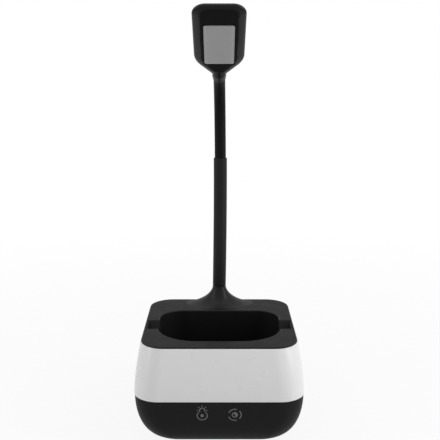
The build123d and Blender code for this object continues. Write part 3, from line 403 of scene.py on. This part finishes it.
FINISHES = {
    "lower_shell": "shell",
    "white_band": "band",
    "rubber_feet": "rubber",
    "neck_collar": "lower_silicone",
    "head_back_cover": "head",
    "diffuser": "diffuser",
    "lower_sleeve": "lower_silicone",
    "upper_sleeve": "upper_silicone_painted_shade",
    "touch_pads": "copper",
    "touch_board": "green_board",
    "charging_board": "green_board",
    "led_board": "white_board",
    "reflector_frame": "white_board",
    "leds": "led",
    "battery_cell": "film",
    "battery_cradle": "inner",
}


def dress_nodes(materials):
    """Give every CAD node its finish; fasteners, core links and fittings are steel."""
    for name, node in nodes.items():
        finish = materials[FINISHES.get(name, "steel")]
        for slot in node.material_slots:
            slot.material = finish


# ---- sleeves: one tube for each joint, split in the middle of the links
SLEEVE_SIDES = 64
RING_STEP = 1.0
LOWER_R = 5.6
UPPER_R = 4.72
LOWER_END = 2 * LEAN_RUN
SLEEVE_EDGE = 0.45  # rounding of the lower sleeve's ends
HIDDEN_START = LOWER_END - 4.0  # where the upper sleeve starts, inside the lower one
FIRST_JOINT = 12.0  # distance of the first joint from the neck's foot
LOWER_PITCH = 28.0  # between the joints inside the lower sleeve
UPPER_START = 8.8  # from the lower sleeve's end to the next joint
UPPER_PITCH = 10.0  # between the joints from there on
LOWER_JOINTS = 4
UPPER_JOINTS = 7
EDGE_SHARES = (0.05, 0.15, 0.3, 0.6, 1.0)  # places of the extra rings on a rounded end
HEAD_REACH = 3.0  # how far the upper sleeve goes on past the neck's end, inside the collar
BLEND_INSET = 1.5  # how far inside a tube's ends bend_tube takes two points of the neck


def sway(distance):
    """Sideways bow of the sleeves, none at either end of the neck."""
    share = min(max(distance / NECK_LENGTH, 0.0), 1.0)
    return SWAY * sin(pi * share)


def lower_radius(distance):
    """Radius of the lower sleeve, rounded over at both ends."""
    from_end = min(distance, LOWER_END - distance)
    short = max(SLEEVE_EDGE - from_end, 0.0)
    return LOWER_R - SLEEVE_EDGE + (SLEEVE_EDGE**2 - short**2) ** 0.5


def upper_radius(distance):
    """Radius of the upper sleeve."""
    return UPPER_R


def ring_places(start, end, edges):
    """Distances of a tube's rings, closer together where its end is rounded."""
    steps = max(round((end - start) / RING_STEP), 1)
    places = [start + (end - start) * i / steps for i in range(steps + 1)]
    for edge, inward in edges:
        places += [edge + inward * SLEEVE_EDGE * share for share in EDGE_SHARES]
    return sorted(places)


def tube(name, start, end, radius, edges=(), caps=(False, False)):
    """Tube round the neck path between two distances."""
    mesh = bmesh.new()
    rings = []
    for distance in ring_places(start, end, edges):
        y, z, lean = neck_point(distance)
        size = radius(distance)
        ring = []
        for i in range(SLEEVE_SIDES):
            angle = tau * i / SLEEVE_SIDES
            x = sway(distance) + size * cos(angle)
            out = size * sin(angle)
            ring.append(mesh.verts.new(Vector((x, y + out * cos(lean), z - out * sin(lean))) * MM))
        rings.append(ring)
    for low, high in zip(rings, rings[1:]):
        for i in range(SLEEVE_SIDES):
            j = (i + 1) % SLEEVE_SIDES
            mesh.faces.new((low[i], low[j], high[j], high[i]))
    for ring, capped in zip((rings[0], rings[-1]), caps):
        if capped:
            mesh.faces.new(ring)
    return finish_mesh(name, mesh)


def finish_mesh(name, mesh):
    """Object from a bmesh, smooth shaded with its normals outwards."""
    bmesh.ops.recalc_face_normals(mesh, faces=mesh.faces)
    for face in mesh.faces:
        face.smooth = len(face.verts) == 4
    data = bpy.data.meshes.new(name)
    mesh.to_mesh(data)
    mesh.free()
    piece = bpy.data.objects.new(name, data)
    bpy.context.scene.collection.objects.link(piece)
    return piece


def bend_tube(piece, start, end, finish):
    """Give a tube its finish and bake its placement into its mesh."""
    piece.data.materials.append(finish)
    first, last = neck_centre(start + BLEND_INSET), neck_centre(end - BLEND_INSET)
    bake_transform(piece)


def make_sleeves(materials):
    """Both sleeves, in tubes that meet in the middle of the core's links."""
    lower_joints = [FIRST_JOINT + LOWER_PITCH * i for i in range(LOWER_JOINTS)]
    upper_joints = [LOWER_END + UPPER_START + UPPER_PITCH * i for i in range(UPPER_JOINTS)]
    splits = [(a + b) / 2 for a, b in zip(lower_joints, lower_joints[1:])]
    lower_ends = [0.0, *splits, LOWER_END]
    for i, (start, end) in enumerate(zip(lower_ends, lower_ends[1:])):
        ends = (i == 0, i == LOWER_JOINTS - 1)
        edges = [(start, 1)] * ends[0] + [(end, -1)] * ends[1]
        piece = tube(f"lower_sleeve_{i + 1}", start, end, lower_radius, edges, ends)
        bend_tube(piece, start, end, materials["lower_silicone"])
        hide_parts("lower_sleeve")
    splits = [(a + b) / 2 for a, b in zip(upper_joints, upper_joints[1:])]
    upper_ends = [HIDDEN_START, *splits, NECK_LENGTH + HEAD_REACH]
    for i, (start, end) in enumerate(zip(upper_ends, upper_ends[1:])):
        ends = (i == 0, i == UPPER_JOINTS - 1)
        piece = tube(f"upper_sleeve_{i + 1}", start, end, upper_radius, (), ends)
        low = upper_joints[i] - UPPER_PITCH / 2
        high = upper_joints[i] + UPPER_PITCH / 2
        bend_tube(piece, low, high, materials["upper_silicone_painted_shade"])
        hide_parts("upper_sleeve")


# ---- touch icons, printed on the lower shell's front
PRINT_RISE = 0.05  # how far the print stands out of the shell
PRINT_ROOT = 0.15  # how far it reaches into it
STROKE = 0.75
LIGHT_ICON = (-12.5, 28.2)  # centres of the icons, across and up
MODE_ICON = (11.5, 28.8)
ICON_STEP = radians(6)
RAY_START_Y = -90  # a place in front of the shell, from which its surface is looked for
DISC_SLIT = 0.5  # degrees between the starts of a disc's two sides
KEY_RING_R = 3.7
KEY_RING_SPAN = (128, 412)
KEY_DOT_R = 1.3
BULB_RISE = 4.3  # from the ring's centre to the bulb's
BULB_R = 1.9
BULB_SPAN = (-30, 210)
BULB_RAYS = (3.0, 3.9)
BULB_RAY_ANGLES = (0, 45, 90, 135, 180)
MODE_RING_R = 4.7
MODE_ARC = 88
MODE_ARC_STARTS = (70, 200, 316)
MODE_DOT_R = 1.9
MODE_FILL_R = 1.8
MODE_FILL_SPAN = (-60, 120)


def arc(centre, radius, start, end):
    """Points of an arc, angles in degrees from the right, turning upwards."""
    first, last = radians(start), radians(end)
    steps = max(round(abs(last - first) / ICON_STEP), 2)
    angles = [first + (last - first) * i / steps for i in range(steps + 1)]
    return [(centre[0] + radius * cos(a), centre[1] + radius * sin(a)) for a in angles]


def ray(centre, near, far, angle):
    """Two ends of a short line that points away from a centre."""
    turn = radians(angle)
    return [(centre[0] + r * cos(turn), centre[1] + r * sin(turn)) for r in (near, (near + far) / 2, far)]


def front_of_shell(x, z):
    """Point of the lower shell's front at a place seen from the front."""
    shell = nodes["lower_shell"]
    hit, place_on_shell, _, _ = shell.ray_cast(Vector((x, RAY_START_Y, z)) * MM, Vector((0, 1, 0)))
    if not hit:
        raise RuntimeError("an icon lies off the lower shell")
    return place_on_shell


def add_stroke(mesh, line, width):
    """Closed printed stroke along a line of points."""
    left, right = [], []
    for i, (x, z) in enumerate(line):
        x0, z0 = line[max(i - 1, 0)]
        x1, z1 = line[min(i + 1, len(line) - 1)]
        run = ((x1 - x0) ** 2 + (z1 - z0) ** 2) ** 0.5
        dx, dz = -(z1 - z0) / run * width / 2, (x1 - x0) / run * width / 2
        left.append((x + dx, z + dz))
        right.append((x - dx, z - dz))
    add_outline(mesh, left, right)


def add_outline(mesh, left, right):
    """Closed thin solid between two lines of points, lying on the shell."""
    rows = []
    for side in (left, right):
        for depth in (-PRINT_RISE, PRINT_ROOT):
            row = []
            for x, z in side:
                point = front_of_shell(x, z)
                row.append(mesh.verts.new(point + Vector((0, depth * MM, 0))))
            rows.append(row)
    top_left, low_left, top_right, low_right = rows
    loop = [top_left, top_right, low_right, low_left]
    for one, other in zip(loop, loop[1:] + loop[:1]):
        for i in range(len(left) - 1):
            mesh.faces.new((one[i], other[i], other[i + 1], one[i + 1]))
    for end in (0, -1):
        mesh.faces.new([row[end] for row in loop])


def print_icon(name, strokes, fills, materials):
    """One printed icon from strokes and filled shapes."""
    mesh = bmesh.new()
    for line in strokes:
        add_stroke(mesh, line, STROKE)
    for left, right in fills:
        add_outline(mesh, left, right)
    piece = finish_mesh(name, mesh)
    for face in piece.data.polygons:
        face.use_smooth = False
    piece.data.materials.append(materials["print"])
    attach(piece, "base")


def disc(centre, radius, start, end):
    """Filled part of a disc, between two angles, as its two sides."""
    middle = (start + end) / 2
    return arc(centre, radius, middle, start), arc(centre, radius, middle + DISC_SLIT, end)


def make_icons(materials):
    """Light key: bulb with rays over a ring. Mode key: half-filled dot in a ring of three arcs."""
    x, z = LIGHT_ICON
    bulb = (x, z + BULB_RISE)
    strokes = [arc(LIGHT_ICON, KEY_RING_R, *KEY_RING_SPAN), arc(bulb, BULB_R, *BULB_SPAN)]
    strokes += [ray(bulb, *BULB_RAYS, angle) for angle in BULB_RAY_ANGLES]
    print_icon("light_icon", strokes, [disc(LIGHT_ICON, KEY_DOT_R, 0, 360)], materials)
    strokes = [arc(MODE_ICON, MODE_RING_R, start, start + MODE_ARC) for start in MODE_ARC_STARTS]
    strokes.append(arc(MODE_ICON, MODE_DOT_R, 0, 360))
    print_icon("mode_icon", strokes, [disc(MODE_ICON, MODE_FILL_R, *MODE_FILL_SPAN)], materials)


# ---- pieces in a CAD node's shape with several finishes
FLATNESS = 0.9999  # cosine of the tilt that still counts as flat
RECESS_HEIGHT = 78.5 * MM  # faces of the tray below this are in the well or the groove, or hidden, and get the painted shade


def finished_copy(node, name, body, finishes, finish_of):
    """Copy of a CAD node with a finish chosen for each of its faces."""
    data = nodes[node].data.copy()
    piece = bpy.data.objects.new(name, data)
    bpy.context.scene.collection.objects.link(piece)
    data.materials.clear()
    for finish in finishes:
        data.materials.append(finish)
    for face in data.polygons:
        face.material_index = finish_of(face)
    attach(piece, body)
    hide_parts(node)


def tray_finish(face):
    """0 for the flare and the rims, 1 for the flat deck, 2 below them in the well and the groove, which
    get a darker grey as painted shade.
    """
    if face.center.z < RECESS_HEIGHT:
        return 2
    return int(face.normal.z > FLATNESS)


def cover_finish(face):
    """0 for the bevels, 1 for the flat panel round the diffuser."""
    lit_side = Vector((0, -sin(HEAD_RISE), -cos(HEAD_RISE)))
    return int(face.normal.dot(lit_side) > FLATNESS)


def make_several_finish_pieces(materials):
    """Tray with its matt deck and its recesses painted darker as shade, and head cover with its dull
    panel.
    """
    finishes = materials["flare"], materials["deck"], materials["recess"]
    finished_copy("top_tray", "tray", "base", finishes, tray_finish)
    finishes = materials["head"], materials["head_panel"]
    finished_copy("head_front_cover", "head_cover", "head", finishes, cover_finish)


# ---- floor and light
FLOOR_REACH = 6.0
FLOOR_DROP = 0.5 * MM  # how far it lies under the feet, so that the two don't share a plane
FLOOR_GREY = 225
SHADOW_SHARE = 0.1  # how much of the floor's look near the object is its own shading
SHADOW_REACH = (0.12, 0.7)  # where that share starts to fade into the plain background and ends


def background_rays(tree):
    """1 for rays that show the background: seen directly, in gloss or through glass."""
    rays = tree.nodes.new("ShaderNodeLightPath")
    total = rays.outputs["Is Camera Ray"]
    for name in ("Is Glossy Ray", "Is Transmission Ray"):
        either = tree.nodes.new("ShaderNodeMath")
        either.operation = "MAXIMUM"
        tree.links.new(total, either.inputs[0])
        tree.links.new(rays.outputs[name], either.inputs[1])
        total = either.outputs["Value"]
    return total


def make_floor():
    """Pale floor that shows as the white background and keeps a faint shadow."""
    mesh = bpy.data.meshes.new("floor")
    corners = [(x * FLOOR_REACH, y * FLOOR_REACH, 0) for x, y in ((-1, -1), (1, -1), (1, 1), (-1, 1))]
    mesh.from_pydata(corners, [], [(0, 1, 2, 3)])
    floor = bpy.data.objects.new("floor", mesh)
    floor.location = (0, 0, -FLOOR_DROP)
    bpy.context.scene.collection.objects.link(floor)
    material, shader = new_material("floor")
    shader.inputs["Base Color"].default_value = (*grey(FLOOR_GREY), 1)
    shader.inputs["Roughness"].default_value = 0.9
    shader.inputs["Specular IOR Level"].default_value = 0.1
    tree = material.node_tree
    glow = tree.nodes.new("ShaderNodeEmission")
    away = tree.nodes.new("ShaderNodeVectorMath")
    away.operation = "LENGTH"
    link(material, place(material), away.inputs[0])
    background = remap(material, away.outputs["Value"], 1 - SHADOW_SHARE, 1.0, *SHADOW_REACH)
    share = math_node(material, "MULTIPLY", background_rays(tree), background)
    both = tree.nodes.new("ShaderNodeMixShader")
    tree.links.new(share, both.inputs["Fac"])
    tree.links.new(shader.outputs["BSDF"], both.inputs[1])
    tree.links.new(glow.outputs["Emission"], both.inputs[2])
    tree.links.new(both.outputs["Shader"], tree.nodes["Material Output"].inputs["Surface"])
    mesh.materials.append(material)


WORLD_LEVEL = 0.38  # strength of the surroundings' light; as a background they show as white
STRIP_PLACE = (0.75, -0.25, 0.62)  # right strip; the left one mirrors it
STRIP_AIM = (0, 0, 0.3)
STRIP_SIZE = (0.2, 1.2)
RIGHT_POWER = 5.2
LEFT_POWER = 2.6
TOP_PLACE = (0, 0.1, 1.3)
TOP_SIZE = (0.8, 0.6)
TOP_POWER = 2


def make_world():
    """White surroundings: white as a background, a soft grey light on the object."""
    world = bpy.data.worlds.new("world")
    bpy.context.scene.world = world
    world.use_nodes = True
    tree = world.node_tree
    level = tree.nodes.new("ShaderNodeMapRange")
    level.inputs["To Min"].default_value = WORLD_LEVEL
    level.inputs["To Max"].default_value = 1.0
    tree.links.new(background_rays(tree), level.inputs["Value"])
    background = tree.nodes["Background"]
    background.inputs["Color"].default_value = (1, 1, 1, 1)
    tree.links.new(level.outputs["Result"], background.inputs["Strength"])


def area_light(name, place_of_lamp, target, size, power):
    """Soft rectangular lamp aimed at a point."""
    data = bpy.data.lights.new(name, "AREA")
    data.shape = "RECTANGLE"
    data.size, data.size_y = size
    data.energy = power
    lamp = bpy.data.objects.new(name, data)
    lamp.location = place_of_lamp
    aim = Vector(target) - Vector(place_of_lamp)
    lamp.rotation_euler = aim.to_track_quat("-Z", "Y").to_euler()
    bpy.context.scene.collection.objects.link(lamp)


def make_lights():
    """Two tall strips at the sides and a top box, as in a product studio."""
    side, depth, height = STRIP_PLACE
    area_light("right_strip", (side, depth, height), STRIP_AIM, STRIP_SIZE, RIGHT_POWER)
    area_light("left_strip", (-side, depth, height), STRIP_AIM, STRIP_SIZE, LEFT_POWER)
    area_light("top", TOP_PLACE, (0, 0, 0), TOP_SIZE, TOP_POWER)


# ---- the scene
make_camera()
materials = make_materials()
dress_nodes(materials)
make_sleeves(materials)
make_icons(materials)
make_several_finish_pieces(materials)
make_floor()
make_world()
make_lights()
bpy.context.scene.view_settings.view_transform = "Standard"
